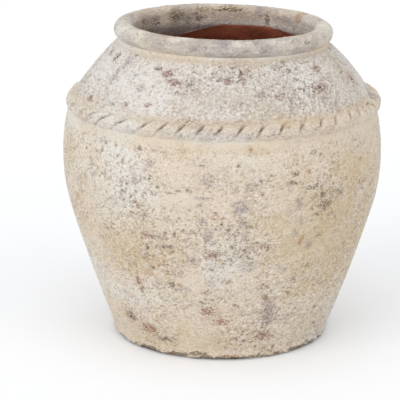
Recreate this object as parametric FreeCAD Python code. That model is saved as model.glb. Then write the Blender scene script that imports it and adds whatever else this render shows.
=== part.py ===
import FreeCAD, Part
import collections
import math
import os

os.makedirs("parts", exist_ok=True)

# A squat Greek pithos of coarse fired clay, built up by hand in courses and then fired.
# Lengths are in millimetres. Z is up, and the origin is where the jar's axis meets the ground.
JAR_HEIGHT = 304.8
BELLY_RADIUS = 152.4
BELLY_HEIGHT = 178.0
BELLY_BEND = 182.0
WALL = 11.0

# The floor is one slab. Its edge shows outside as the toe, and the wall stands on it.
FLOOR = 11.0
TOE_RADIUS = 104.4
TOE_BATTER = 0.9
HEEL_ROUND = 4.5

# The wall leaves the belly's curve at this angle from upright and runs down to the toe.
FLANK_ANGLE = 16.5

# Levels at which one course was trimmed and left to stiffen before the next was set on it.
FOOT_SEAM = 68.0
BELLY_SEAM = 151.0

# The belly turns in at the arris, and the shoulder closes from there to the neck. Both are
# placed by how far they lie under the mouth.
ARRIS_DROP = 75.3
SHOULDER_BEND = 220.0
NECK_DROP = 18.8

# The collar is the wall's last coil. It turns up into a neck that is thicker than the wall, and
# the rim is a thick roll that overhangs it.
COLLAR_DROP = 34.0
THROAT_RADIUS = 86.0
NECK_WALL = 13.5
RIM_OVERHANG = 4.0
RIM_ROUND = 8.3
LIP_ROUND = 7.5

# A coil is laid round the arris and notched on the slant, so that it looks like twisted rope.
ROPE_ROUND = 8.7
ROPE_PROUD = 5.6
ROPE_LOBES = 47
ROPE_FOOT_ANGLE = -66.0
ROPE_HEAD_ANGLE = 111.0
ROPE_STRIDE = 17.0
GASH_FOOT_DEPTH = 0.7
GASH_HEAD_DEPTH = 3.2

# Places along one lobe, and how much of the gash's depth the tool has bitten there.
LOBE_SHARES = [(0, 1), (0.2, 0.1), (0.75, 0)]

# The clay is paddled into flats, and none lies deeper than this under its curve.
FLAT_DEPTH = 0.75

# Inward run for each upward one, up to which a side of an outline counts as steep.
STEEP_SHARE = 0.25

Curve = collections.namedtuple("Curve", "r z bend")


def radius_at(curve, height):
    """Distance from the jar's axis to a profile curve. A curve with a negative bend is hollow."""
    reach = math.sqrt(curve.bend**2 - (height - curve.z) ** 2)
    return curve.r + math.copysign(reach, curve.bend)


def point_at(curve, height):
    return (radius_at(curve, height), height)


def sunk(curve, depth):
    """The same curve, some depth further in."""
    return Curve(curve.r, curve.z, curve.bend - depth)


def curve_leaving(start, normal, end):
    """The curve that leaves start square to a unit normal and passes through end."""
    across = end[0] - start[0]
    up = end[1] - start[1]
    bend = -(across**2 + up**2) / (2 * (normal[0] * across + normal[1] * up))
    return Curve(start[0] - bend * normal[0], start[1] - bend * normal[1], bend)


def curve_joining(low, high, bend):
    """The curve of a given bend from a low point to a high one."""
    across = high[0] - low[0]
    up = high[1] - low[1]
    chord = math.hypot(across, up)
    back = math.sqrt(bend**2 - (chord / 2) ** 2)
    centre_r = (low[0] + high[0]) / 2 - back * up / chord
    centre_z = (low[1] + high[1]) / 2 + back * across / chord
    return Curve(centre_r, centre_z, bend)


def crossing(first, second, near):
    """Where two profile curves cross, on the side that is nearer to a point."""
    across = second.r - first.r
    up = second.z - first.z
    apart = math.hypot(across, up)
    along = (apart**2 + first.bend**2 - second.bend**2) / (2 * apart)
    off = math.sqrt(first.bend**2 - along**2)
    foot = (first.r + along * across / apart, first.z + along * up / apart)
    places = [
        (foot[0] + side * off * up / apart, foot[1] - side * off * across / apart)
        for side in (1, -1)
    ]
    return min(places, key=lambda place: math.dist(place, near))


def turns_between(start, end, bend):
    """Evenly spaced angles round a curve, close enough for the paddled flats."""
    count = math.ceil(abs(end - start) / (2 * math.acos(1 - FLAT_DEPTH / abs(bend))))
    return [start + (end - start) * i / count for i in range(count + 1)]


def flats(curve, low, high):
    """Points along a curve from one of its own points to another."""
    side = math.copysign(1, curve.bend)
    start = math.atan2(side * (low[1] - curve.z), side * (low[0] - curve.r))
    end = math.atan2(side * (high[1] - curve.z), side * (high[0] - curve.r))
    turns = turns_between(start, end, curve.bend)[1:-1]
    between = [(curve.r + curve.bend * math.cos(turn), curve.z + curve.bend * math.sin(turn)) for turn in turns]
    return [low] + between + [high]


# The wall's outer profile is three curves, from the toe up: the flank, the belly and the shoulder.
toe_top = (TOE_RADIUS + TOE_BATTER, FLOOR)
belly = Curve(BELLY_RADIUS - BELLY_BEND, BELLY_HEIGHT, BELLY_BEND)
flank_lean = math.radians(FLANK_ANGLE)
flank_normal = (math.cos(flank_lean), -math.sin(flank_lean))
flank_top = (belly.r + belly.bend * flank_normal[0], belly.z + belly.bend * flank_normal[1])
flank = curve_leaving(flank_top, flank_normal, toe_top)
arris = point_at(belly, JAR_HEIGHT - ARRIS_DROP)
neck_radius = THROAT_RADIUS + NECK_WALL
neck = (neck_radius, JAR_HEIGHT - NECK_DROP)
shoulder = curve_joining(arris, neck, SHOULDER_BEND)

collar_seam = JAR_HEIGHT - COLLAR_DROP

# The roll's two rounds, and the notch where it overhangs the neck.
roll = Curve(neck_radius + RIM_OVERHANG - RIM_ROUND, JAR_HEIGHT - RIM_ROUND, RIM_ROUND)
lip = Curve(THROAT_RADIUS + LIP_ROUND, JAR_HEIGHT - LIP_ROUND, -LIP_ROUND)
notch_drop = math.sqrt(RIM_ROUND**2 - (neck_radius - roll.r) ** 2)
notch = (neck_radius, roll.z - notch_drop)
seat_edge = (THROAT_RADIUS, notch[1])

# The rope's coil, seen as a curve of the profile.
rope = Curve(arris[0] + ROPE_PROUD - ROPE_ROUND, arris[1], ROPE_ROUND)


def wall_face(depth, low, high):
    """Points up one face of the wall, a depth in from the outer one, between two levels."""
    curves = [sunk(curve, depth) for curve in (flank, belly, shoulder)]
    belly_foot = flank_top[1] - depth * flank_normal[1]
    belly_head = crossing(curves[1], curves[2], arris)[1] if depth else arris[1]
    points = []
    for curve, foot, head in zip(curves, (low, belly_foot, belly_head), (belly_foot, belly_head, high)):
        foot = max(foot, low)
        head = min(head, high)
        if foot < head:
            points = points[:-1] + flats(curve, point_at(curve, foot), point_at(curve, head))
    return points


def side(start, end):
    """One side of an outline. A steep one is a spline of degree one, which turns into a lighter face
    than a cone."""
    across = abs(end.x - start.x)
    if across == 0 or across > STEEP_SHARE * abs(end.z - start.z):
        return Part.makeLine(start, end)
    steep = Part.BSplineCurve()
    steep.buildFromPoles([start, end], False, 1)
    return steep.toShape()


def turned(points):
    """The ring that a closed outline sweeps out round the jar's axis."""
    corners = [FreeCAD.Vector(point[0], 0, point[1]) for point in points]
    outline = Part.Wire([side(start, end) for start, end in zip(corners, corners[1:] + corners[:1])])
    return Part.Face(outline).revolve(FreeCAD.Vector(), FreeCAD.Vector(0, 0, 1), 360)


def course(low, high):
    """A course of the wall, trimmed level at both ends."""
    return turned(wall_face(0, low, high) + wall_face(WALL, low, high)[::-1])


def floor_disc():
    heel = Curve(TOE_RADIUS - HEEL_ROUND, HEEL_ROUND, HEEL_ROUND)
    edge = flats(heel, (heel.r, 0), (TOE_RADIUS, HEEL_ROUND))
    return turned([(0, 0)] + edge + [toe_top, (0, FLOOR)])


def neck_collar():
    outer = flats(shoulder, point_at(shoulder, collar_seam), neck) + [notch]
    inner = [point_at(sunk(shoulder, WALL), collar_seam), (THROAT_RADIUS, neck[1]), seat_edge]
    return turned(outer + inner[::-1])


def rim_roll():
    outer = flats(roll, notch, (roll.r, JAR_HEIGHT))
    inner = flats(lip, (THROAT_RADIUS, lip.z), (lip.r, JAR_HEIGHT))[::-1]
    return turned(outer + inner + [seat_edge])


def rope_section(along, bite_share):
    """The coil's outline at an angle along the ring. It leans on the slant, and the tool bites deeper
    into its head than into its foot."""
    foot = math.radians(ROPE_FOOT_ANGLE)
    head = math.radians(ROPE_HEAD_ANGLE)
    corners = []
    for height in turns_between(foot, head, ROPE_ROUND):
        share = (height - foot) / (head - foot)
        depth = GASH_FOOT_DEPTH + share * (GASH_HEAD_DEPTH - GASH_FOOT_DEPTH)
        reach = ROPE_ROUND - bite_share * depth
        turn = along + (share - 0.5) * ROPE_STRIDE / (rope.r + ROPE_ROUND)
        corners.append((rope.r + reach * math.cos(height), turn, rope.z + reach * math.sin(height)))
    core = rope.r - ROPE_ROUND
    corners.append((core, corners[-1][1], corners[-1][2]))
    corners.append((core, corners[0][1], corners[0][2]))
    places = [FreeCAD.Vector(r * math.cos(turn), r * math.sin(turn), z) for r, turn, z in corners]
    return Part.makePolygon(places + places[:1])


def rope_moulding():
    """The coil, whose gashes leave it as a ring of slanted lobes, seated on both sides of the arris."""
    lobe = 2 * math.pi / ROPE_LOBES
    sections = [
        rope_section((number + place_share) * lobe, bite_share)
        for number in range(ROPE_LOBES)
        for place_share, bite_share in LOBE_SHARES
    ]
    coil = Part.makeLoft(sections, True, True, True)
    body = turned([(0, BELLY_SEAM)] + wall_face(0, BELLY_SEAM, collar_seam) + [(0, collar_seam)])
    return coil.cut(body)


def keep(name, shape):
    shape.exportStep("parts/" + name + ".step")
    print(name, len(shape.Solids), "solid,", round(shape.Volume / 1000), "cm3, valid", shape.isValid())


keep("floor_disc", floor_disc())
keep("foot_course", course(FLOOR, FOOT_SEAM))
keep("belly_course", course(FOOT_SEAM, BELLY_SEAM))
keep("upper_belly_course", course(BELLY_SEAM, arris[1]))
keep("shoulder_course", course(arris[1], collar_seam))
keep("neck_collar", neck_collar())
keep("rim_roll", rim_roll())
keep("rope_moulding", rope_moulding())
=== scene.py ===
import math

import bpy
import bmesh
import numpy as np
from mathutils import Matrix


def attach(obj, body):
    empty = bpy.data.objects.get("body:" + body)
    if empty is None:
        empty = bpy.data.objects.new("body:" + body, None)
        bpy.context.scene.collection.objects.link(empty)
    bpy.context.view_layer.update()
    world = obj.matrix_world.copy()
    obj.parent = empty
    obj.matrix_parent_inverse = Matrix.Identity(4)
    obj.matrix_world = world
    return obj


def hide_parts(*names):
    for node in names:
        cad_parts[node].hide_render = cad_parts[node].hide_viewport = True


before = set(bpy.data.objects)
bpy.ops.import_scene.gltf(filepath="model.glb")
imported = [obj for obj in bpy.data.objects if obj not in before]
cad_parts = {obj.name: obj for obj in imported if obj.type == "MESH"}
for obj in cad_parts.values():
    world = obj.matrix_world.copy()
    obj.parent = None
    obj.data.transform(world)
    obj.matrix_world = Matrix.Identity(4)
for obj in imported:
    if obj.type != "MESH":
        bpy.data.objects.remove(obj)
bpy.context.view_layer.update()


# The floor is the slab that the jar is built up on, of coarse red clay. Its top is bare inside the
# jar. Its edge shows outside as the toe, where the limewash is worn and the fired clay is chipped.
TOE_RADIUS = 0.1044
TOE_TOP_RADIUS = 0.1053
INNER_EDGE = 0.0935
FLOOR_TOP = 0.0110
HEEL_ROUND = 0.0045

# The heel's underside, below this angle in degrees, bears on the ground and is hardly worn.
HEEL_BEARING_END = -50

# Points round a ring, and the steps from point to point of a profile, from where it is seen
# closest to where it is hardly seen. The slab's seat for the wall has a step of its own.
COLUMNS = 960
FINE = 0.00105
PLAIN = 0.004
COARSE = 0.008
SEAT_STEP = 0.003

# Points closer than this are one and the same.
TOUCHING = 1e-6


class Thread:
    """A value on its way through a tree of nodes. With no socket yet, it stands for the tree."""

    def __init__(self, tree, socket=None):
        self.tree = tree
        self.socket = socket

    def node(self, kind, inputs=(), settings=(), output=0):
        """Adds a node: its settings first, then the values or links of its sockets."""
        node = self.tree.nodes.new(kind)
        for name, value in dict(settings).items():
            setattr(node, name, value)
        for name, value in dict(inputs).items():
            socket = self.found(node.inputs, name)
            if isinstance(value, Thread):
                self.tree.links.new(value.socket, socket)
            else:
                socket.default_value = value
        return Thread(self.tree, self.found(node.outputs, output)) if node.outputs else None

    def found(self, sockets, name):
        if isinstance(name, int):
            return sockets[name]
        return next(socket for socket in sockets if name in (socket.identifier, socket.name))

    def maths(self, operation, first, second):
        return self.node("ShaderNodeMath", {0: first, 1: second}, {"operation": operation})

    def __add__(self, other):
        return self.maths("ADD", self, other)

    def __sub__(self, other):
        return self.maths("SUBTRACT", self, other)

    def __mul__(self, other):
        return self.maths("MULTIPLY", self, other)

    def __radd__(self, other):
        return self.maths("ADD", other, self)

    def __rsub__(self, other):
        return self.maths("SUBTRACT", other, self)

    def __rmul__(self, other):
        return self.maths("MULTIPLY", other, self)

    def eased(self, low, high):
        """0 up to low and 1 from high on, or the other way round where high is the lower one."""
        span = {"Value": self, "From Min": min(low, high), "From Max": max(low, high)}
        ends = {"To Min": float(low > high), "To Max": float(low < high)}
        return self.node("ShaderNodeMapRange", {**span, **ends}, {"interpolation_type": "SMOOTHSTEP"})

    def within(self, foot, head):
        """1 between two levels and 0 beyond them, eased over the span that is given for each."""
        return self.eased(*foot) * self.eased(*head)

    def scaled(self, stretch, shift=0.0):
        """A place with its three parts multiplied, and moved into another part of the pattern."""
        steps = {0: self, 1: stretch, 2: (shift, shift, shift)}
        return self.node("ShaderNodeVectorMath", steps, {"operation": "MULTIPLY_ADD"})

    def grain(self, scale, detail, roughness=0.5):
        """Cloudy noise at a place, about 0.5 on average. The scale is in lumps a metre."""
        sizes = {"Vector": self, "Scale": scale, "Detail": detail, "Roughness": roughness}
        return self.node("ShaderNodeTexNoise", sizes)

    def cells(self, scale):
        """How far a place is from the middle of its cell, where cells of random shape meet."""
        sizes = {"Vector": self, "Scale": scale}
        return self.node("ShaderNodeTexVoronoi", sizes, {"feature": "F1"}, "Distance")

    def height(self):
        return self.node("ShaderNodeSeparateXYZ", {"Vector": self}, output="Z")

    def mixed(self, base, coat, cover):
        """A base colour with a coat of another laid over it, as far as cover says."""
        inputs = {"Factor_Float": cover, "A_Color": base, "B_Color": coat}
        return self.node("ShaderNodeMix", inputs, {"data_type": "RGBA"}, "Result_Color")

    def coated(self, coat, cover):
        """This colour with a coat of another laid over it."""
        return self.mixed(self, coat, cover)


def straight(start, end, step):
    """Points along a straight stretch of a profile. A profile's points are distance out and height."""
    count = max(1, math.ceil(math.dist(start, end) / step))
    return [tuple(start[k] + (end[k] - start[k]) * i / count for k in (0, 1)) for i in range(count + 1)]


def rounded(centre, bend, start, end, step):
    """Points along a curved stretch of a profile, between two angles in degrees."""
    count = max(1, math.ceil(abs(bend) * math.radians(abs(end - start)) / step))
    turns = [math.radians(start + (end - start) * i / count) for i in range(count + 1)]
    return [(centre[0] + bend * math.cos(turn), centre[1] + bend * math.sin(turn)) for turn in turns]


# The shoulder sank and the neck sagged a little before the jar was fired, so that the rim is lower
# at the back right. Both set in over a span of levels.
SINK = 0.0018
SINK_LEVELS = (0.232, 0.250)
SAG_SLOPE = 0.014
SAG_BEARING = math.radians(198)
SAG_LEVELS = (0.262, 0.290)


def settled(places):
    """Points where they came to rest once the clay had sunk and sagged."""
    def share(low, high):
        part = np.clip((places[:, 2] - low) / (high - low), 0, 1)
        return part * part * (3 - 2 * part)

    uphill = places[:, 0] * math.cos(SAG_BEARING) + places[:, 1] * math.sin(SAG_BEARING)
    rise = share(*SAG_LEVELS) * SAG_SLOPE * uphill - share(*SINK_LEVELS) * SINK
    return places + np.stack([0 * rise, 0 * rise, rise], axis=1)


def turns_round(count):
    """Evenly spaced angles round the jar."""
    return np.arange(count) * 2 * math.pi / count


def spun(out, up, turns):
    """Points, or directions, that reach so far out and up at each turn round the jar."""
    sides = [out * np.cos(turns), out * np.sin(turns), up * np.ones(len(turns))]
    return np.stack(sides, axis=2).reshape(-1, 3)


def added(name, data):
    """A new object in the scene."""
    thing = bpy.data.objects.new(name, data)
    bpy.context.scene.collection.objects.link(thing)
    return thing


def ringed(name, places, rows):
    """A piece whose points lie in rows that run round the jar, the last row joined to the first."""
    columns = len(places) // rows
    row, column = np.meshgrid(np.arange(rows), np.arange(columns), indexing="ij")
    above, beside = (row + 1) % rows, (column + 1) % columns
    corners = [(row, column), (row, beside), (above, beside), (above, column)]
    faces = np.stack([level * columns + place for level, place in corners], axis=2)
    mesh = bpy.data.meshes.new(name)
    mesh.from_pydata(places, [], faces.reshape(-1, 4))
    return added(name, mesh)


def turned(name, stretches):
    """A ring turned from stretches of a profile, each with how far its skin is worked. They run up the
    outside and down the inside. Each point keeps its skin, and the way that the clay faces there."""
    points, ways, skins = [], [], []
    last_way, last_skin = None, -1
    for stretch, skin in stretches + stretches[:1]:
        run = np.gradient(np.array(stretch), axis=0)
        way = np.stack([run[:, 1], -run[:, 0]], axis=1) / np.linalg.norm(run, axis=1)[:, None]
        if last_skin > skin:
            way[0] = last_way
        points.append(stretch[:-1])
        ways.append(way[:-1])
        skins.append([max(skin, last_skin)] + [skin] * (len(stretch) - 2))
        last_way, last_skin = way[-1], skin
    points[0], ways[0], skins[0] = points[-1], ways[-1], skins[-1]
    points, ways, skins = (np.concatenate(parts[:-1]) for parts in (points, ways, skins))
    turns = turns_round(COLUMNS)
    piece = ringed(name, settled(spun(points[:, :1], points[:, 1:], turns)), len(points))
    keep_values(piece, "way", spun(ways[:, :1], ways[:, 1:], turns))
    keep_values(piece, "skin", np.repeat(skins, COLUMNS))
    return piece


def keep_values(piece, name, values):
    """Keeps a number, or a direction, for each point of a piece under a name."""
    values = np.asarray(values, np.float32)
    kind, part = ("FLOAT", "value") if values.ndim == 1 else ("FLOAT_VECTOR", "vector")
    piece.data.attributes.new(name, kind, "POINT").data.foreach_set(part, values.ravel())


def shaping(name, sizes):
    """An empty geometry tree, with its sizes as named inputs."""
    tree = bpy.data.node_groups.new(name, "GeometryNodeTree")
    tree.interface.new_socket("Mesh", in_out="INPUT", socket_type="NodeSocketGeometry")
    for size in sizes:
        tree.interface.new_socket(size, in_out="INPUT", socket_type="NodeSocketFloat")
    tree.interface.new_socket("Finish", in_out="INPUT", socket_type="NodeSocketMaterial")
    tree.interface.new_socket("Mesh", in_out="OUTPUT", socket_type="NodeSocketGeometry")
    return Thread(tree)


def given(start, size):
    """One of the tree's own inputs."""
    return start.node("NodeGroupInput", output=size)


def read_value(start, name, kind="FLOAT"):
    """A value that each point of the mesh keeps under a name."""
    return start.node("GeometryNodeInputNamedAttribute", {"Name": name}, {"data_type": kind})


def kept(start, mesh, name, value):
    """The mesh with a value kept on it for the finish to read."""
    inputs = {"Geometry": mesh, "Name": name, "Value": value}
    settings = {"data_type": "FLOAT", "domain": "POINT"}
    return start.node("GeometryNodeStoreNamedAttribute", inputs, settings)


def moved_along(start, mesh, way, reach):
    """The mesh with each of its points moved along its way."""
    offset = start.node("ShaderNodeVectorMath", {0: way, "Scale": reach}, {"operation": "SCALE"})
    return start.node("GeometryNodeSetPosition", {"Geometry": mesh, "Offset": offset})


def hand_on(start, mesh):
    """Ends a tree: the mesh as plain faces with its finish on them."""
    whole = start.node("GeometryNodeRealizeInstances", {"Geometry": mesh})
    whole = start.node("GeometryNodeSetMaterial", {"Geometry": whole, "Material": given(start, "Finish")})
    start.node("NodeGroupOutput", {"Mesh": whole})


# Faces that meet at a sharper angle than this keep a crisp edge.
CRISP = math.radians(68)


def worked(piece, shape, finish, sizes):
    """Runs a piece through a geometry tree and keeps what comes out as its mesh."""
    steps = piece.modifiers.new(shape.tree.name, "NODES")
    steps.node_group = shape.tree
    for item in shape.tree.interface.items_tree:
        if item.in_out == "INPUT" and item.name in sizes:
            steps[item.identifier] = sizes[item.name]
        if item.name == "Finish":
            steps[item.identifier] = finish
    seen = bpy.context.evaluated_depsgraph_get()
    mesh = bpy.data.meshes.new_from_object(
        piece.evaluated_get(seen), preserve_all_data_layers=True, depsgraph=seen
    )
    piece.modifiers.clear()
    piece.data = mesh
    mesh.shade_smooth()
    mesh.set_sharp_from_angle(angle=CRISP)


def set_in_place(piece, node):
    """Dresses one of the CAD's nodes in a finished piece."""
    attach(piece, "root")
    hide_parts(node)


# Spans of level over which each of these bands sets in and gives out again: the one that was wiped
# under the rope, the one that was wiped round the neck, and the crust between rope and neck.
ROPE_BAND = ((0.2125, 0.2160), (0.2250, 0.2235))
NECK_BAND = ((0.2800, 0.2840), (0.2900, 0.2890))
CRUST_BAND = ((0.234, 0.243), (0.287, 0.280))

# What the building, the brush, the firing and the years do to the clay's skin. All of it moves the
# skin along its way: long waves, lumps, brush lines, sand, grooves, pits, and a crust of limewash.
weathering = shaping(
    "Weathering", ("Wear", "Waves", "Lumps", "Brush lines", "Sand", "Grooves", "Pits", "Crust", "Chips")
)
place = weathering.node("GeometryNodeInputPosition")
level = place.height()
waves = (place.grain(9, 1) - 0.5) * given(weathering, "Waves")
lumps = (place.grain(48, 3) - 0.5) * given(weathering, "Lumps")
lines = (place.scaled((1, 1, 15)).grain(26, 3) - 0.5) * given(weathering, "Brush lines")

# The sand in the clay stands out in patches, but little where the skin was wiped: in a band under
# the rope, and round the neck.
wiped = level.within(*ROPE_BAND) + level.within(*NECK_BAND)
wear = (1 - wiped * 0.6) * given(weathering, "Wear")
rough = (place.grain(13, 2).eased(0.36, 0.62) * 0.6 + 0.65) * wear
sand = (place.scaled((1, 1, 1.3)).grain(250, 3, 0.62) - 0.5) * rough
worn = read_value(weathering, "worn") * 0.13

# Short wandering grooves are left by the grass brush, in some patches more than in others.
brushed = place.scaled((1, 1, 1.9), 0.3)
wander = brushed.maths("ABSOLUTE", brushed.grain(80, 3, 0.62) - 0.5, 0.0)
groove = wander.eased(0.024, 0.004) * (brushed.grain(30, 3) + worn).eased(0.54, 0.66) * rough

# A pit opens in only some of the cells, so that pits lie apart and in clusters.
bent = place.node("ShaderNodeTexNoise", {"Vector": place, "Scale": 160.0}, output="Color")
shift = {0: bent, 1: (0.006, 0.006, 0.005), 2: place}
bent = place.node("ShaderNodeVectorMath", shift, {"operation": "MULTIPLY_ADD"})
pits = bent.cells(150).eased(0.32, 0.14) * (place.grain(26, 2, 0.6) + worn).eased(0.60, 0.68)
small_pits = bent.cells(290).eased(0.36, 0.16) * (place.grain(44, 2) + worn).eased(0.55, 0.65)
pit = pits.maths("MAXIMUM", pits, small_pits * 0.75) * wear

# The crust stands up where the ground is high, and thins out under the neck and at the rope.
ground = place.scaled((1, 1, 1.3)).grain(360, 4, 0.68) + (place.grain(20, 2) - 0.5) * 0.35
reach = level.within(*CRUST_BAND)
crust = ground.eased(0.40, 0.50) * reach
crust_sand = (place.grain(430, 3, 0.6) - 0.5) * reach

# Chips are broken out of the toe's edge, and are deepest at the very bottom.
edge = level.eased(0.0090, 0.0015) * 0.24 + place.scaled((1, 1, 2.0)).grain(85, 3, 0.62)
chip = edge.eased(0.64, 0.71)

mesh = given(weathering, "Mesh")
wear_marks = {"rough": rough, "sand": sand, "groove": groove, "pit": pit, "crust": crust, "chip": chip}
for name, value in wear_marks.items():
    mesh = kept(weathering, mesh, name, value)
rise = (
    waves + lumps + lines + sand * given(weathering, "Sand")
    + (crust - reach * 0.5 + crust_sand) * given(weathering, "Crust")
)
fall = (
    groove * given(weathering, "Grooves") + pit * given(weathering, "Pits")
    + chip * given(weathering, "Chips")
)
way = read_value(weathering, "way", "FLOAT_VECTOR")
move = (rise - fall) * read_value(weathering, "skin")
hand_on(weathering, moved_along(weathering, mesh, way, move))


def paint(red, green, blue):
    """A colour from its usual 0 to 255 parts."""
    parts = [part / 255 for part in (red, green, blue)]
    return tuple(p / 12.92 if p < 0.04045 else ((p + 0.055) / 1.055) ** 2.4 for p in parts) + (1.0,)


def new_finish(name):
    """An empty material, and the place on the surface that its patterns follow."""
    finish = bpy.data.materials.new(name)
    finish.use_nodes = True
    finish.node_tree.nodes.clear()
    start = Thread(finish.node_tree)
    return finish, start, start.node("ShaderNodeTexCoord", output="Object")


def value_of(start, name):
    """A value that each point of the mesh keeps, for a finish to read."""
    return start.node("ShaderNodeAttribute", {}, {"attribute_name": name}, "Fac")


def fired(start, colour, roughness, relief, depth):
    """The surface itself: matt fired clay with a fine relief."""
    bump = start.node("ShaderNodeBump", {"Height": relief, "Distance": depth, "Strength": 1.0})
    clay = {"Base Color": colour, "Roughness": roughness, "Normal": bump, "Specular IOR Level": 0.25}
    surface = start.node("ShaderNodeBsdfPrincipled", clay)
    start.node("ShaderNodeOutputMaterial", {"Surface": surface})


TERRACOTTA = paint(206, 129, 96)
TERRACOTTA_DARK = paint(164, 97, 72)
BUFF_CLAY = paint(186, 154, 122)
CREAM = paint(226, 212, 192)
CHALK = paint(230, 225, 216)
OCHRE_WASH = paint(209, 186, 150)
COOL_PATCH = paint(190, 178, 176)
TAN_PATCH = paint(203, 180, 143)
OLD_WASH = paint(188, 173, 160)
CRUST_WHITE = paint(229, 226, 224)
GREY_CLAY = paint(161, 149, 144)
CHIPPED_CLAY = paint(112, 92, 74)
TOE_CONTACT_SHADOW = paint(54, 46, 40)
DIRT_AND_GASH_SHADE = paint(110, 86, 66)

# How much of the dark colour each kind of hollow holds: dirt in the grooves and pits, and dirt with
# painted shade in the gashes.
DIRT_AND_SHADE_SHARES = {"groove": 0.40, "pit": 0.62, "gash": 0.75}

# The colours of the dirt between grains and of the grains themselves: coarse, middling and fine.
GAPS = (paint(158, 131, 104), paint(154, 126, 99), paint(150, 124, 100))
GRAINS = (paint(243, 239, 231), paint(242, 237, 228), paint(244, 240, 233))

# The stains, each with how strong it gets. Some of the chalk, mauve and soot marks are painted light or
# shade rather than stains.
STAINS = {
    "chalk_and_throat_light": (paint(234, 231, 225), 0.6),
    "ochre": (paint(172, 122, 68), 0.7),
    "olive": (paint(118, 104, 72), 0.66),
    "mauve_and_painted_shade": (paint(138, 124, 132), 0.55),
    "rust": (paint(132, 72, 58), 0.72),
    "soot_and_gash_shade": (paint(82, 70, 58), 0.75),
}


def bare_clay(start, place, wash, bare):
    """Coarse red clay with darker and paler grit in it, where the wash leaves it bare."""
    clay = start.mixed(TERRACOTTA_DARK, TERRACOTTA, place.grain(34, 3).eased(0.32, 0.66))
    clay = clay.coated(BUFF_CLAY, place.grain(260, 4, 0.7).eased(0.60, 0.74) * 0.5)
    return wash.coated(clay, bare)


def limewash(start, place):
    """Matt limewash brushed over the clay. It is chalky or ochre by patches, and stained by marks, some
    of them painted light or shade.
    """
    warm = value_of(start, "warm")
    rough = value_of(start, "rough") * (1 - value_of(start, "chalk_and_throat_light") * 0.5)
    chalky = place.grain(15, 3, 0.6) - warm * 0.45
    wash = start.mixed(CREAM, CHALK, chalky.eased(0.34, 0.60))
    wash = wash.coated(OCHRE_WASH, (warm + (place.grain(30, 5, 0.7) - 0.5) * 2.4).eased(0.05, 1.0) * 0.85)
    cool = place.scaled((1, 1, 1.4), 0.9).grain(62, 3, 0.65).eased(0.54, 0.70)
    wash = wash.coated(COOL_PATCH, cool * rough * 0.5)
    tan = place.scaled((1, 1, 1.4), 1.7).grain(52, 3, 0.65).eased(0.55, 0.72)
    wash = wash.coated(TAN_PATCH, tan * rough * 0.45)

    # The crust is a whiter coat, and the older wash shows in its gaps.
    crust = value_of(start, "crust")
    reach = place.height().within(*CRUST_BAND) * value_of(start, "crusted")
    wash = wash.coated(OLD_WASH, reach * (1 - crust) * 0.45)
    wash = wash.coated(CRUST_WHITE, crust * reach * 0.72)

    # Sand grains stand pale, and dirt sits between them.
    coarse = place.scaled((1, 1, 1.4)).grain(380, 2, 0.7)
    wash = wash.coated(GAPS[0], coarse.eased(0.46, 0.30) * rough * 0.75)
    wash = wash.coated(GRAINS[0], coarse.eased(0.56, 0.70) * rough * 0.75)
    sand = value_of(start, "sand")
    wash = wash.coated(GAPS[1], sand.eased(-0.05, -0.18) * 0.45)
    wash = wash.coated(GRAINS[1], sand.eased(0.04, 0.20) * 0.5)
    grit = place.grain(820, 2, 0.7)
    wash = wash.coated(GAPS[2], grit.eased(0.44, 0.32) * rough * 0.5)
    wash = wash.coated(GRAINS[2], grit.eased(0.56, 0.68) * rough * 0.45)

    # Where the wash is rubbed thin, grey clay shows through it in clouds. Below the rim's top band the
    # grey is laid on more thickly, as painted shade, so that the top edge stays lighter.
    cloud = place.scaled((1, 1, 2.2), 0.4).grain(38, 4, 0.65).eased(0.36, 0.62)
    thin_wash_and_shade = place.height().eased(0.3030, 0.2960) * 0.20 + cloud * 0.62
    wash = wash.coated(GREY_CLAY, value_of(start, "thin") * thin_wash_and_shade)

    # Stains have ragged edges, and break up into specks where they are faint.
    ragged = place.scaled((1, 1, 1.6)).grain(400, 4, 0.75) - 0.5
    for name, (stain, strength) in STAINS.items():
        cover = value_of(start, name) * (ragged * 6.0 + 0.85)
        wash = wash.coated(stain, cover.eased(0.28, 0.80) * strength)
    # The hollows are darkened: grooves and pits by dirt, the deep upper part of each gash by dirt and
    # painted shade.
    for name, share in DIRT_AND_SHADE_SHARES.items():
        wash = wash.coated(DIRT_AND_GASH_SHADE, value_of(start, name) * share)
    bare = (value_of(start, "bare") + ragged * 1.4).eased(0.40, 0.60)
    return bare_clay(start, place, wash, bare)


# How much wear the firm clay of the wall shows, and how far in metres each kind moves its skin.
FIRM = {
    "Wear": 1.0, "Waves": 0.0012, "Lumps": 0.0010, "Brush lines": 0.0002, "Sand": 0.0016,
    "Grooves": 0.0004, "Pits": 0.0010,
}

wall_finish, start, place = new_finish("limewashed clay")
wash = limewash(start, place)
wash = wash.coated(CHIPPED_CLAY, value_of(start, "chip") * 0.6)
# A thin dark line at the very foot of the toe, broken up by noise, is painted contact shadow.
toe_contact_shadow = place.height().eased(0.0040, 0.0004) * place.grain(40, 4, 0.7).eased(0.36, 0.58)
wash = wash.coated(TOE_CONTACT_SHADOW, toe_contact_shadow * 0.85)
fired(start, wash, roughness=0.9, relief=place.grain(480, 3, 0.65), depth=0.0017)

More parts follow.
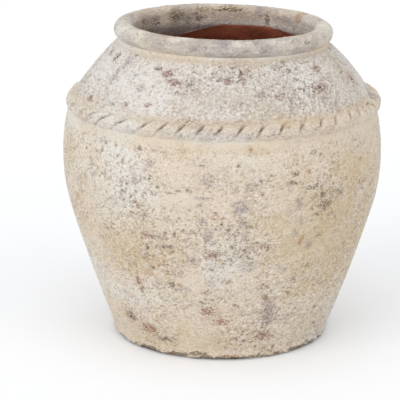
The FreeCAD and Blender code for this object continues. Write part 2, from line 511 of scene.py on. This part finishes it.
# Marks on the skin. Each has its degrees to the right of the front, then in millimetres its level,
# half its width and half its height, and last how strong it is in its middle.
MARKS = {
    "worn": [
        (-28, 150, 40, 28, 1), (-16, 112, 36, 26, 1), (6, 140, 24, 44, 0.7), (36, 160, 26, 28, 1),
        (30, 202, 30, 9, 0.8), (-42, 205, 24, 12, 0.6), (-8, 60, 32, 26, 0.9),
        (20, 45, 20, 28, 0.9), (-36, 30, 28, 16, 0.9), (-15, 270, 60, 8, 0.6),
        (48, 262, 20, 10, 0.6), (110, 140, 42, 40, 0.9), (180, 180, 50, 30, 0.9),
        (235, 90, 45, 40, 0.9), (170, 60, 40, 30, 0.7), (275, 160, 30, 40, 0.7),
    ],
    "chalk_and_throat_light": [
        # The marks inside the throat at 140 and 182 degrees are painted light on its shaded underside.
        (66, 230, 24, 8, 0.55), (-62, 230, 20, 8, 0.4), (140, 283, 50, 6, 1),
        (182, 284, 40, 4, 0.6), (-70, 216, 36, 11, 0.6), (-66, 262, 40, 18, 0.6),
        (-74, 299, 46, 9, 0.95), (80, 299, 44, 9, 0.9), (112, 295, 26, 9, 0.95),
        (-37, 43, 3, 5, 0.9), (-34.5, 37, 3, 5, 0.9), (-32, 31, 3, 5, 0.9), (-30, 25, 3, 5, 0.8),
        (-44, 207, 28, 10, 0.8), (-38, 262, 62, 12, 0.7), (-4, 252, 60, 7, 0.5),
        (-14, 172, 26, 16, 0.3), (3, 98, 30, 10, 0.4), (150, 90, 30, 20, 0.7),
        (200, 200, 40, 14, 0.7), (260, 60, 30, 20, 0.6),
    ],
    "warm": [
        (-73, 180, 24, 24, 0.5), (-4, 188, 60, 26, 0.3), (0, 214, 100, 6, 0.4),
        (2, 237, 74, 5, 0.4), (-30, 26, 60, 24, 0.65), (12, 24, 60, 24, 0.4),
        (46, 34, 44, 32, 0.45), (180, 294, 110, 9, 0.5), (45, 128, 74, 72, 0.85),
        (-36, 108, 50, 34, 0.7), (-60, 140, 30, 35, 0.5), (14, 60, 60, 40, 0.3),
        (62, 255, 30, 22, 0.5), (20, 240, 70, 9, 0.5), (-70, 240, 40, 9, 0.15),
        (0, 281, 90, 4, 0.5), (120, 150, 70, 60, 0.7), (190, 110, 60, 40, 0.8),
        (240, 190, 50, 40, 0.6), (170, 250, 60, 20, 0.5),
    ],
    "olive": [
        (16, 227, 24, 4.5, 0.42), (-14, 226, 7, 5, 0.5), (212, 294, 9, 8, 1), (204, 289, 7, 4, 0.9),
        (193, 299, 10, 3, 0.9), (198, 293, 4, 6, 0.8), (175, 300, 12, 2.5, 0.9),
        (230, 292, 7, 6, 0.8), (243, 287, 9, 4, 0.8), (185, 296, 8, 3, 0.6),
    ],
    "ochre": [
        (213, 297, 5, 4, 0.7), (123, 299, 6, 6, 1), (176, 299, 18, 3, 0.6), (196, 289, 4, 4, 0.6),
        (239, 292, 12, 5, 0.5), (30, 125, 3, 5, 1), (-17, 81, 6, 3, 0.7), (-31, 106, 4, 3, 0.6),
        (10, 215, 3, 4, 0.7), (-1, 152, 11, 1.6, 0.8), (31, 191, 4, 2.5, 0.9), (-21, 93, 4, 3, 0.6),
        (24, 192, 3, 2, 0.6), (5, 5, 14, 1.5, 0.8), (-40, 12, 8, 3, 0.7), (38, 10, 7, 3, 0.6),
        (150, 120, 4, 4, 0.8), (222, 96, 6, 3, 0.8),
    ],
    "mauve_and_painted_shade": [
        # The wide mark on the rim's front at 295 millimetres is a greyer tone with painted shade on the
        # roll's lower half. The marks on the rope at 84, -60 and -52 degrees are painted shade on its
        # lobes near the sides.
        (0, 295, 130, 5, 0.45), (4, 229, 90, 7, 0.52), (0, 214, 120, 5, 0.34),
        (-3, 188, 62, 24, 0.42), (0, 238, 84, 6, 0.46), (0, 256, 76, 14, 0.26),
        (0, 18, 55, 12, 0.3), (84, 237, 8, 8, 1), (-60, 230, 5, 3, 0.6), (-52, 230, 6, 2.5, 0.6),
        (-32, 299, 12, 4, 0.7), (-55, 298, 10, 4, 0.6), (20, 294, 14, 3, 0.6),
        (40, 300, 10, 4, 0.7), (66, 298, 8, 5, 0.6), (-80, 300, 10, 4, 0.7), (155, 297, 8, 6, 1),
        (232, 285, 14, 6, 0.9), (190, 293, 12, 3, 0.7), (140, 292, 10, 5, 0.8),
        (-25, 199, 6, 5, 0.8), (-28, 185, 5, 4, 0.6), (-6, 201, 6, 4, 0.7), (-4.6, 187, 9, 8, 0.8),
        (6.7, 194, 5, 4, 0.5), (10, 181, 9, 7, 0.7), (4.9, 179, 4, 4, 0.9), (7, 163, 8, 6, 1),
        (-6.6, 149, 4, 4, 0.9), (-4.8, 133, 5, 5, 0.9), (6.8, 148, 4, 5, 0.9), (9, 132, 5, 5, 0.7),
        (10, 119, 8, 8, 0.7), (11, 104, 8, 8, 0.7), (-6, 171, 12, 1.6, 0.9), (-28, 148, 7, 3, 0.8),
        (-20, 120.5, 11, 2.4, 0.9), (-22, 129, 8, 3, 0.8), (-17, 94, 9, 6, 0.7),
        (-16, 77, 8, 4, 0.8), (-42, 87, 6, 4, 0.7), (-10, 108, 6, 5, 0.8), (27.5, 163, 4, 6, 1),
        (42, 147, 7, 2.4, 0.8), (27, 134, 4, 4, 0.9), (34, 119, 4, 4, 1), (30, 83.5, 7, 5, 0.7),
        (55, 80, 3, 12, 0.7), (-47, 36, 9, 6, 1), (21.5, 52, 6, 17, 1), (-54, 277, 4, 7, 0.9),
        (-56, 264, 4, 7, 0.9), (-37, 259, 7, 4, 0.8), (27, 278, 9, 3, 0.7), (17, 259, 9, 3, 0.8),
        (30, 254.5, 8, 4, 0.6), (45, 249, 7, 3, 0.8), (0, 301, 9, 2.5, 0.9), (120, 200, 6, 5, 0.8),
        (160, 150, 8, 7, 0.9), (196, 172, 9, 5, 0.8), (230, 140, 6, 5, 0.9), (140, 262, 7, 5, 0.8),
        (215, 255, 8, 5, 0.8),
    ],
    "rust": [
        (-27, 22, 26, 12, 0.44), (-3, 48, 15, 14, 0.48), (20, 40, 9, 20, 0.4),
        (-5, 80, 14, 20, 0.36), (-33, 58, 10, 26, 0.38), (-14, 262, 34, 9, 0.44),
        (24, 262, 30, 9, 0.38), (2, 250, 56, 7, 0.36), (-31, 162, 2.5, 3, 0.9),
        (-30, 157, 2.5, 3, 0.9), (-24, 172, 8, 3, 0.7), (-27.5, 130, 6, 1.8, 1),
        (-3.3, 115, 8, 5, 0.9), (-5.5, 75, 5, 4, 0.7), (3, 87, 4, 3, 0.7), (-36, 79, 2.4, 6, 1),
        (-35, 70, 2.4, 5, 0.9), (17, 122, 12, 1.6, 0.8), (-5.4, 54, 7, 5, 1), (0.4, 43, 8, 4, 1),
        (-36.5, 26, 13, 7, 0.8), (21, 25, 8, 6, 0.9), (19.6, 66, 4, 4, 0.8), (-75, 277, 4, 3, 1),
        (-65.5, 277, 4, 4, 1), (-26, 273, 6, 4, 1), (-22, 267, 8, 2.6, 1), (-63, 241, 5, 3, 1),
        (-41, 245, 3, 2, 0.9), (-30, 247, 5, 2, 0.9), (2, 270, 5, 3, 1), (8.5, 271, 4, 3, 0.9),
        (50, 273, 6, 3, 1), (46, 258, 8, 3.5, 1), (73, 257, 4, 5, 0.9), (75, 251, 3, 3, 0.9),
        (23.5, 256, 5, 2.5, 0.8), (-19, 259, 6, 3, 0.6), (120, 262, 6, 4, 1), (165, 255, 7, 3, 1),
        (205, 268, 5, 3, 0.9), (250, 250, 5, 3, 0.9), (140, 100, 6, 4, 0.8), (210, 60, 5, 4, 0.8),
    ],
    "soot_and_gash_shade": [
        (-14, 268, 26, 6, 0.36), (-24, 118, 20, 14, 0.32), (2, 112, 20, 20, 0.32),
        # The three marks on the rope at 62, 71 and 80 degrees are painted shade in its gashes.
        (36, 165, 22, 16, 0.36), (62, 233, 3, 5, 0.6), (71, 233, 3.4, 6, 0.6), (80, 233, 4, 6, 0.6),
        (196, 290, 3, 4, 1), (150, 290.5, 2.5, 6, 1), (176, 298, 14, 1.6, 0.8),
        (243, 295, 5, 3, 0.8), (213, 293, 5, 2, 0.8), (228, 289, 6, 2, 0.7),
        (-29.7, 211, 2.5, 2.5, 1), (-46, 212, 10, 6, 0.45), (-40, 200, 12, 6, 0.4),
        (26, 190.5, 3.5, 3, 1), (25, 182.5, 6, 2.2, 1), (32, 176.5, 9, 3, 0.7),
        (37, 167, 5, 2.5, 0.9), (46, 165, 4, 3, 0.8), (39, 158.5, 9, 6, 0.7), (34, 208, 9, 4, 0.5),
        (-2, 157, 2.5, 2, 1), (-20.5, 80, 5, 4, 1), (-28, 117, 3, 3, 0.8), (-27, 96, 3, 3, 0.8),
        (38, 128, 5, 4, 0.6), (19, 69, 3, 3, 0.9), (-29, 17.5, 10, 4, 0.8), (-47, 34, 7, 4, 0.7),
        (48, 46, 2.5, 2.5, 1), (-65, 277, 3, 3, 0.9), (-32, 276, 5, 2, 0.9), (33, 275, 2.5, 2, 1),
        (46, 259, 4, 2, 0.9), (-13, 238, 9, 2.5, 0.6), (48, 297, 5, 2, 0.7), (17, 301, 3, 2, 0.6),
        (130, 180, 5, 3, 0.9), (185, 208, 6, 4, 0.7), (225, 160, 6, 3, 0.9), (260, 110, 4, 3, 0.8),
        (100, 70, 4, 3, 0.8),
    ],
}
MM_PER_M = 1000

# How fast a mark fades away from its middle.
MARK_FADE = 0.7

# The wash was brushed down into the throat only. It ends there at these degrees and heights in
# millimetres, and frays over a few of them. It is thin inside, but covers the rim all round.
WASH_END = (
    (0, 276), (60, 270), (120, 278), (136, 281), (150, 284), (182, 283), (206, 273), (250, 268),
    (300, 272), (360, 276),
)
WASH_FRAY = 0.005
WASHED_FROM = 0.289
INSIDE_THIN = 0.85

# Less grey clay is laid on at the jar's sides than at its front and back. Closer to the axis than
# this radius, a place has no side worth telling.
SIDE_WASH = 0.32
AXIS_RADIUS = 0.01


def mark(piece, crusted=0.0, thin=0.0, hollow=True):
    """Keeps how far each kind of mark covers each point of a piece, how thin the wash is there, and
    where the clay is bare. A hollow piece has a face inside the jar as well."""
    places = np.empty(len(piece.data.vertices) * 3, np.float32)
    piece.data.vertices.foreach_get("co", places)
    x, y, z = places.reshape(-1, 3).T.astype(float)
    turn, reach = np.degrees(np.arctan2(y, x)) + 90, np.hypot(x, y)
    for name, marks in MARKS.items():
        cover = np.zeros(len(x))
        for degrees, level, width, height, strength in marks:
            along = np.radians((turn - degrees + 180) % 360 - 180) * reach * MM_PER_M
            off = (along / width) ** 2 + ((z * MM_PER_M - level) / height) ** 2
            cover = np.maximum(cover, strength * np.exp(-MARK_FADE * off))
        keep_values(piece, name, cover)
    way = np.empty(len(x) * 3, np.float32)
    piece.data.attributes["way"].data.foreach_get("vector", way)
    way = way.reshape(-1, 3)
    facing_in = hollow & (way[:, 0] * x + way[:, 1] * y < 0)
    on_floor = (reach < INNER_EDGE + TOUCHING) & (np.abs(z - FLOOR_TOP) < TOUCHING)
    inside = facing_in | on_floor
    wash_end = np.interp(turn % 360, *zip(*WASH_END)) / MM_PER_M
    bare = np.clip((wash_end - z) / WASH_FRAY + 0.5, 0, 1)
    keep_values(piece, "bare", np.where(inside & (z < WASHED_FROM), bare, 0))
    keep_values(piece, "crusted", np.full(len(x), crusted))
    thin = thin * (1 - SIDE_WASH * np.abs(x) / np.maximum(reach, AXIS_RADIUS))
    keep_values(piece, "thin", np.where(inside, INSIDE_THIN, thin))


def close_poles(piece):
    """Draws the points that lie on the axis together, so that a disc is closed there."""
    mesh = bmesh.new()
    mesh.from_mesh(piece.data)
    bmesh.ops.remove_doubles(mesh, verts=mesh.verts, dist=TOUCHING)
    loose = [edge for edge in mesh.edges if not edge.link_faces]
    bmesh.ops.delete(mesh, geom=loose, context="EDGES")
    mesh.to_mesh(piece.data)
    mesh.free()


heel = (TOE_RADIUS - HEEL_ROUND, HEEL_ROUND)
toe_top = (TOE_TOP_RADIUS, FLOOR_TOP)
floor_slab = turned(
    "floor_slab",
    [
        (straight((0, 0), (heel[0], 0), COARSE), 0),
        (rounded(heel, HEEL_ROUND, -90, HEEL_BEARING_END, FINE), 0.2),
        (rounded(heel, HEEL_ROUND, HEEL_BEARING_END, 0, FINE), 1),
        (straight((TOE_RADIUS, HEEL_ROUND), toe_top, FINE), 1),
        (straight(toe_top, (INNER_EDGE, FLOOR_TOP), SEAT_STEP), 0),
        (straight((INNER_EDGE, FLOOR_TOP), (0, FLOOR_TOP), PLAIN), 0.3),
        (straight((0, FLOOR_TOP), (0, 0), FLOOR_TOP), 0),
    ],
)
close_poles(floor_slab)
mark(floor_slab)
worked(floor_slab, weathering, wall_finish, {**FIRM, "Chips": 0.0022})
set_in_place(floor_slab, "floor_disc")


# The wall is three broad courses of coarse clay from the toe to the rope. Each was built up by hand,
# trimmed level, left to stiffen and luted to the next, so that no joint shows under the limewash.
WALL = 0.0110
FOOT_SEAM = 0.068
BELLY_SEAM = 0.151
ARRIS = (0.14496, 0.2295)
INNER_ARRIS = 0.2252

# The wall's curves, each with its centre, out from the axis and up, and its bend. The heads are the
# levels where one curve runs into the next.
FLANK = ((-1.21907, 0.53034), 1.42256)
BELLY = ((-0.0296, 0.178), 0.182)
SHOULDER = ((-0.04683, 0.12172), 0.220)
FLANK_HEAD = 0.12631
INNER_FLANK_HEAD = 0.12943


def bend_between(curve, depth, low, high, step):
    """Points up one of the wall's curves, some depth in from its outer face, between two levels."""
    centre, bend = curve
    bend = bend - depth
    start, end = (math.degrees(math.asin((level - centre[1]) / bend)) for level in (low, high))
    return rounded(centre, bend, start, end, step)


def wall_face(depth, low, high, step):
    """Points up a face of the wall between two levels, from curve to curve."""
    heads = (INNER_FLANK_HEAD, INNER_ARRIS) if depth else (FLANK_HEAD, ARRIS[1])
    points = []
    for curve, foot, head in zip((FLANK, BELLY, SHOULDER), (0, *heads), (*heads, math.inf)):
        foot, head = max(foot, low), min(head, high)
        if head - foot > TOUCHING:
            points = points[:-1] + bend_between(curve, depth, foot, head, step)
    return points


def course(name, low, high, inner_step):
    """A ring of the wall, trimmed level at both ends."""
    outer = wall_face(0, low, high, FINE)
    inner = wall_face(WALL, low, high, inner_step)[::-1]
    top = straight(outer[-1], inner[0], PLAIN)
    bottom = straight(inner[-1], outer[0], PLAIN)
    return turned(name, [(outer, 1), (top, 0), (inner, 0.5), (bottom, 0)])


for name, node, low, high in (
    ("foot_wall", "foot_course", FLOOR_TOP, FOOT_SEAM),
    ("belly_wall", "belly_course", FOOT_SEAM, BELLY_SEAM),
    ("upper_belly_wall", "upper_belly_course", BELLY_SEAM, ARRIS[1]),
):
    piece = course(name, low, high, COARSE)
    mark(piece)
    worked(piece, weathering, wall_finish, FIRM)
    set_in_place(piece, node)


# The shoulder closes in from the rope to the neck. The limewash went on thick here and has crazed
# into a rough pitted crust, which is smooth again where a hand wiped it under the neck.
COLLAR_SEAM = 0.2708
CRUSTED = {**FIRM, "Crust": 0.0011}

# Its inside is seen through the mouth, so the points lie closer there than further down.
INSIDE_STEP = 0.002
shoulder = course("shoulder_wall", ARRIS[1], COLLAR_SEAM, INSIDE_STEP)
mark(shoulder, crusted=1.0)
worked(shoulder, weathering, wall_finish, CRUSTED)
set_in_place(shoulder, "shoulder_course")


# The collar is the wall's last coil of clay, which turns up into the short neck and ends in a flat
# top for the rim. Its outside was wiped smooth by hand round the neck, and limewashed like the rest.
# The neck's foot is given out from the axis and up, and the seat is the level of the flat top.
NECK = (0.0995, 0.286)
SEAT = 0.2894

# The throat's lower edge is rounded off, from upright to this angle in degrees.
THROAT_RADIUS = 0.086
THROAT_ROUND = 0.009
THROAT_ROUND_END = 222
outer = wall_face(0, COLLAR_SEAM, NECK[1], FINE)
inner = wall_face(WALL, COLLAR_SEAM, SEAT, FINE)[0]
throat_centre = (THROAT_RADIUS + THROAT_ROUND, SEAT)
throat = rounded(throat_centre, THROAT_ROUND, 180, THROAT_ROUND_END, FINE)
collar = turned(
    "neck_wall",
    [
        (outer, 1),
        (straight(NECK, (NECK[0], SEAT), FINE), 1),
        (straight((NECK[0], SEAT), (THROAT_RADIUS, SEAT), PLAIN), 0),
        (throat, 0.5),
        (straight(throat[-1], inner, FINE), 0.5),
        (straight(inner, outer[0], PLAIN), 0),
    ],
)
mark(collar, crusted=1.0)
worked(collar, weathering, wall_finish, CRUSTED)
set_in_place(collar, "neck_collar")


# The rim is a thick roll of clay laid on the collar's flat top, where it overhangs the neck. It was
# smoothed by hand, and hands have rubbed its limewash thin, so that grey clay shows. The roll is its
# outer round and the lip its inner one, each with its centre and its bend.
JAR_HEIGHT = 0.3048
ROLL = ((0.0952, 0.2965), 0.0083)
LIP = ((0.0935, 0.2973), 0.0075)
RIM_STEP = 0.0008
notch_turn = -math.degrees(math.asin((ROLL[0][1] - SEAT) / ROLL[1]))
rim = turned(
    "rim_coil",
    [
        (rounded(*ROLL, notch_turn, 90, RIM_STEP), 1),
        (straight((ROLL[0][0], JAR_HEIGHT), (LIP[0][0], JAR_HEIGHT), FINE), 1),
        (rounded(*LIP, 90, 180, RIM_STEP), 1),
        (straight((THROAT_RADIUS, LIP[0][1]), (THROAT_RADIUS, SEAT), FINE), 0.5),
        (straight((THROAT_RADIUS, SEAT), (NECK[0], SEAT), PLAIN), 0),
    ],
)
mark(rim, thin=1.0)
worked(rim, weathering, wall_finish, {**FIRM, "Wear": 0.75})
set_in_place(rim, "rim_roll")


# The rope is a coil of clay pressed on round the arris, over the joint of shoulder and belly. A tool
# notched it on the slant, so that it looks like twisted rope.
ROPE_CENTRE = (0.14186, 0.2295)
ROPE_ROUND = 0.0087
ROPE_COLUMNS = 1600
ROPE_ROWS = 52

# The coil's section starts this far below level and goes on through the span, both in degrees. It
# was pressed flatter on top. Its back is buried in the wall, between two levels.
ROPE_FOOT = -76
ROPE_SPAN = 200
PRESSED = 0.76
ROPE_CORE = 0.1335
CORE_LEVELS = (0.2365, 0.2225)

# The gashes lean. They cross their bearing at this share of the coil's height, and the slant in
# metres sets how far they run along it. They lean further between these bearings, on the left.
LEAN_MIDDLE = 0.45
ROPE_SLANT = 0.0064
LEAN_MORE = ((-78, -56, -34, -18), (0, 1, 1, 0))

# The coil is thinner, further in and lower about the left side, and gashed more broadly at both
# sides. Each has a bearing and how far it spreads, in degrees.
THIN_AT, THIN_SPREAD = -88, 20
THINNED = 0.14
DRAWN_IN, DRAWN_DOWN = 0.0006, 0.0014
BROAD_AT, BROAD_SPREAD = 72, 17

# Bearings of the gashes that face the front, in degrees to the right of it. The rest are spaced
# round the back.
FRONT_GASHES = (
    -72.5, -61.5, -54.8, -48.2, -39.4, -29.1, -22.2, -15.4, -8.3, -1.7, 5.5, 12.9, 20.4, 28.0,
    36.0, 42.8, 51.3, 56.7, 66.2, 76.5,
)
BACK_GASHES = 27
UNEVENNESS = 0.22

rng = np.random.default_rng(seed=7)
steps = 1 + UNEVENNESS * rng.standard_normal(BACK_GASHES + 1)
back = FRONT_GASHES[-1] + np.cumsum(steps / steps.sum() * (360 + FRONT_GASHES[0] - FRONT_GASHES[-1]))
gashes = np.radians(np.concatenate([FRONT_GASHES, back]) - 90)


def laid_rope(name):
    """The coil before it is notched. Each point keeps how far up the coil it is, how broad the gashes
    are there, and its place in the run of lobes, where a whole number is a gash."""
    climb = np.linspace(0, 1, ROPE_ROWS)
    heights = np.radians(ROPE_FOOT + climb * ROPE_SPAN)
    turns = turns_round(ROPE_COLUMNS)
    bearing = (np.degrees(turns) + 270) % 360 - 180
    left = np.interp(bearing, *LEAN_MORE)
    thin = np.exp(-(((bearing - THIN_AT) / THIN_SPREAD) ** 2))
    broad = np.exp(-(((np.abs(bearing) - BROAD_AT) / BROAD_SPREAD) ** 2))
    coil_round = ROPE_ROUND * (1 - THINNED * thin)
    across = ROPE_CENTRE[0] - DRAWN_IN * thin + coil_round * np.cos(heights)[:, None]
    lift = np.where(heights > 0, PRESSED, 1) * np.sin(heights)
    level = ROPE_CENTRE[1] - DRAWN_DOWN * thin + coil_round * lift[:, None]
    core = np.ones((2, ROPE_COLUMNS))
    across = np.concatenate([across, ROPE_CORE * core])
    level = np.concatenate([level, np.array(CORE_LEVELS)[:, None] * core])
    climb = np.concatenate([climb, [1, 0]])
    lean = climb[:, None] - LEAN_MIDDLE
    slant = ((0.5 + 0.7 * left) * lean + 2.2 * lean**3) * math.radians(ROPE_SPAN) * ROPE_SLANT
    along = (turns - slant / (ROPE_CENTRE[0] + ROPE_ROUND) - gashes[0]) % (2 * math.pi) + gashes[0]
    lobe = np.interp(along, gashes, np.arange(len(gashes)))
    piece = ringed(name, spun(across, level, turns), len(across))
    way = spun(np.cos(heights)[:, None], np.sin(heights)[:, None], turns)
    keep_values(piece, "way", np.concatenate([way, np.zeros((2 * ROPE_COLUMNS, 3))]))
    keep_values(piece, "climb", np.repeat(climb, ROPE_COLUMNS))
    keep_values(piece, "lobe", lobe.ravel())
    keep_values(piece, "broad", np.tile(broad, len(across)))
    keep_values(piece, "skin", np.repeat(np.concatenate([np.ones(ROPE_ROWS), [0, 0]]), ROPE_COLUMNS))
    return piece


# The tool bit deepest at one side of each gash and towards the top, and the clay swelled between.
roping = shaping("Roping", ("Gash foot", "Gash head", "Lobe swell"))
mesh = given(roping, "Mesh")
lobe = read_value(roping, "lobe")
climb = read_value(roping, "climb")
part = lobe.maths("FRACT", lobe, 0.0)
broad = read_value(roping, "broad")
cut = part * (1 - broad * 0.45)
bite = lobe.maths("MAXIMUM", cut.eased(0.21, 0.02), part.eased(0.93, 1.0))
depth = given(roping, "Gash foot") + climb.eased(0.15, 0.8) * given(roping, "Gash head")
swell = part.eased(0.0, 0.45) * part.eased(1.0, 0.55) * given(roping, "Lobe swell")
# The deep upper part of each gash is kept, where the finish paints dirt and shade.
mesh = kept(roping, mesh, "gash", bite.eased(0.62, 1.0) * climb.eased(0.28, 0.60))
mesh = moved_along(roping, mesh, read_value(roping, "way", "FLOAT_VECTOR"), swell - bite * depth)
hand_on(roping, mesh)

NOTCHED = {"Gash foot": 0.0011, "Gash head": 0.0042, "Lobe swell": 0.0005}
rope = laid_rope("rope_coil")
mark(rope, thin=0.12, hollow=False)
worked(rope, roping, wall_finish, NOTCHED)
worked(rope, weathering, wall_finish, {**FIRM, "Wear": 0.8})
set_in_place(rope, "rope_moulding")


# The jar stands on a plain pale floor in soft light that comes from all round. Floor and sky look
# lighter to the camera than the light that they give to the clay.
FLOOR_REACH = 4
FLOOR_PAINT = paint(241, 243, 246)
BLACK = (0, 0, 0, 1)
WHITE = (1, 1, 1, 1)
FLOOR_GLOW = (0.112, 0.112, 0.112, 1)
SKY = (0.75, 0.75, 0.75, 1)

floor_finish, start, place = new_finish("studio floor")
camera_ray = start.node("ShaderNodeLightPath", output="Is Camera Ray")
matt = {
    "Base Color": FLOOR_PAINT, "Roughness": 0.95, "Specular IOR Level": 0.0,
    "Emission Color": start.mixed(BLACK, FLOOR_GLOW, camera_ray), "Emission Strength": 1.0,
}
surface = start.node("ShaderNodeBsdfPrincipled", matt)
start.node("ShaderNodeOutputMaterial", {"Surface": surface})
floor_mesh = bpy.data.meshes.new("studio_floor")
floor_corners = [(x * FLOOR_REACH, y * FLOOR_REACH, 0) for x, y in ((-1, -1), (1, -1), (1, 1), (-1, 1))]
floor_mesh.from_pydata(floor_corners, [], [(0, 1, 2, 3)])
floor_mesh.materials.append(floor_finish)
floor = added("studio_floor", floor_mesh)

world = bpy.data.worlds.new("studio")
bpy.context.scene.world = world
world.use_nodes = True
world.node_tree.nodes.clear()
start = Thread(world.node_tree)
rays = start.node("ShaderNodeLightPath", output="Is Camera Ray")
for kind in ("Is Glossy Ray", "Is Transmission Ray"):
    rays = rays.maths("MAXIMUM", rays, start.node("ShaderNodeLightPath", output=kind))
backdrop = start.node("ShaderNodeBackground", {"Color": start.mixed(SKY, WHITE, rays)})
start.node("ShaderNodeOutputWorld", {"Surface": backdrop})

# The lamps' names, with how strong and how wide each is, its bearing from the front, and how high
# it stands. All but the strength are in degrees.
LAMPS = (
    ("key", 0.90, 45, -42, 22),
    ("fill", 0.42, 60, 42, 20),
    ("left", 0.06, 28, -62, 45),
    ("right", 0.06, 28, 62, 45),
    ("top", 0.27, 40, 0, 80),
)


def turn_about(axis, angle):
    return Matrix.Rotation(angle, 4, axis)


for name, strength, width, bearing, rise in LAMPS:
    lamp = bpy.data.lights.new(name, "SUN")
    lamp.energy = strength
    lamp.angle = math.radians(width)
    aim = turn_about("Z", math.radians(bearing)) @ turn_about("X", math.radians(90 - rise))
    added(name, lamp).matrix_world = aim

# Where the camera stands, and how far it is turned, dipped and rolled, in radians. The lens and the
# sensor are in millimetres.
CAMERA_PLACE = (0, -1.9, 0.6599)
CAMERA_TURN, CAMERA_DIP, CAMERA_ROLL = 0.01093, 0.27337, 0.00757
LENS, SENSOR = 183.28, 36
camera = bpy.data.cameras.new("camera")
camera.lens = LENS
camera.sensor_width = SENSOR
camera_object = added("camera", camera)
camera_object.matrix_world = (
    Matrix.Translation(CAMERA_PLACE)
    @ turn_about("Z", CAMERA_TURN)
    @ turn_about("X", math.pi / 2 - CAMERA_DIP)
    @ turn_about("Z", CAMERA_ROLL)
)
bpy.context.scene.camera = camera_object
bpy.context.scene.view_settings.view_transform = "Standard"
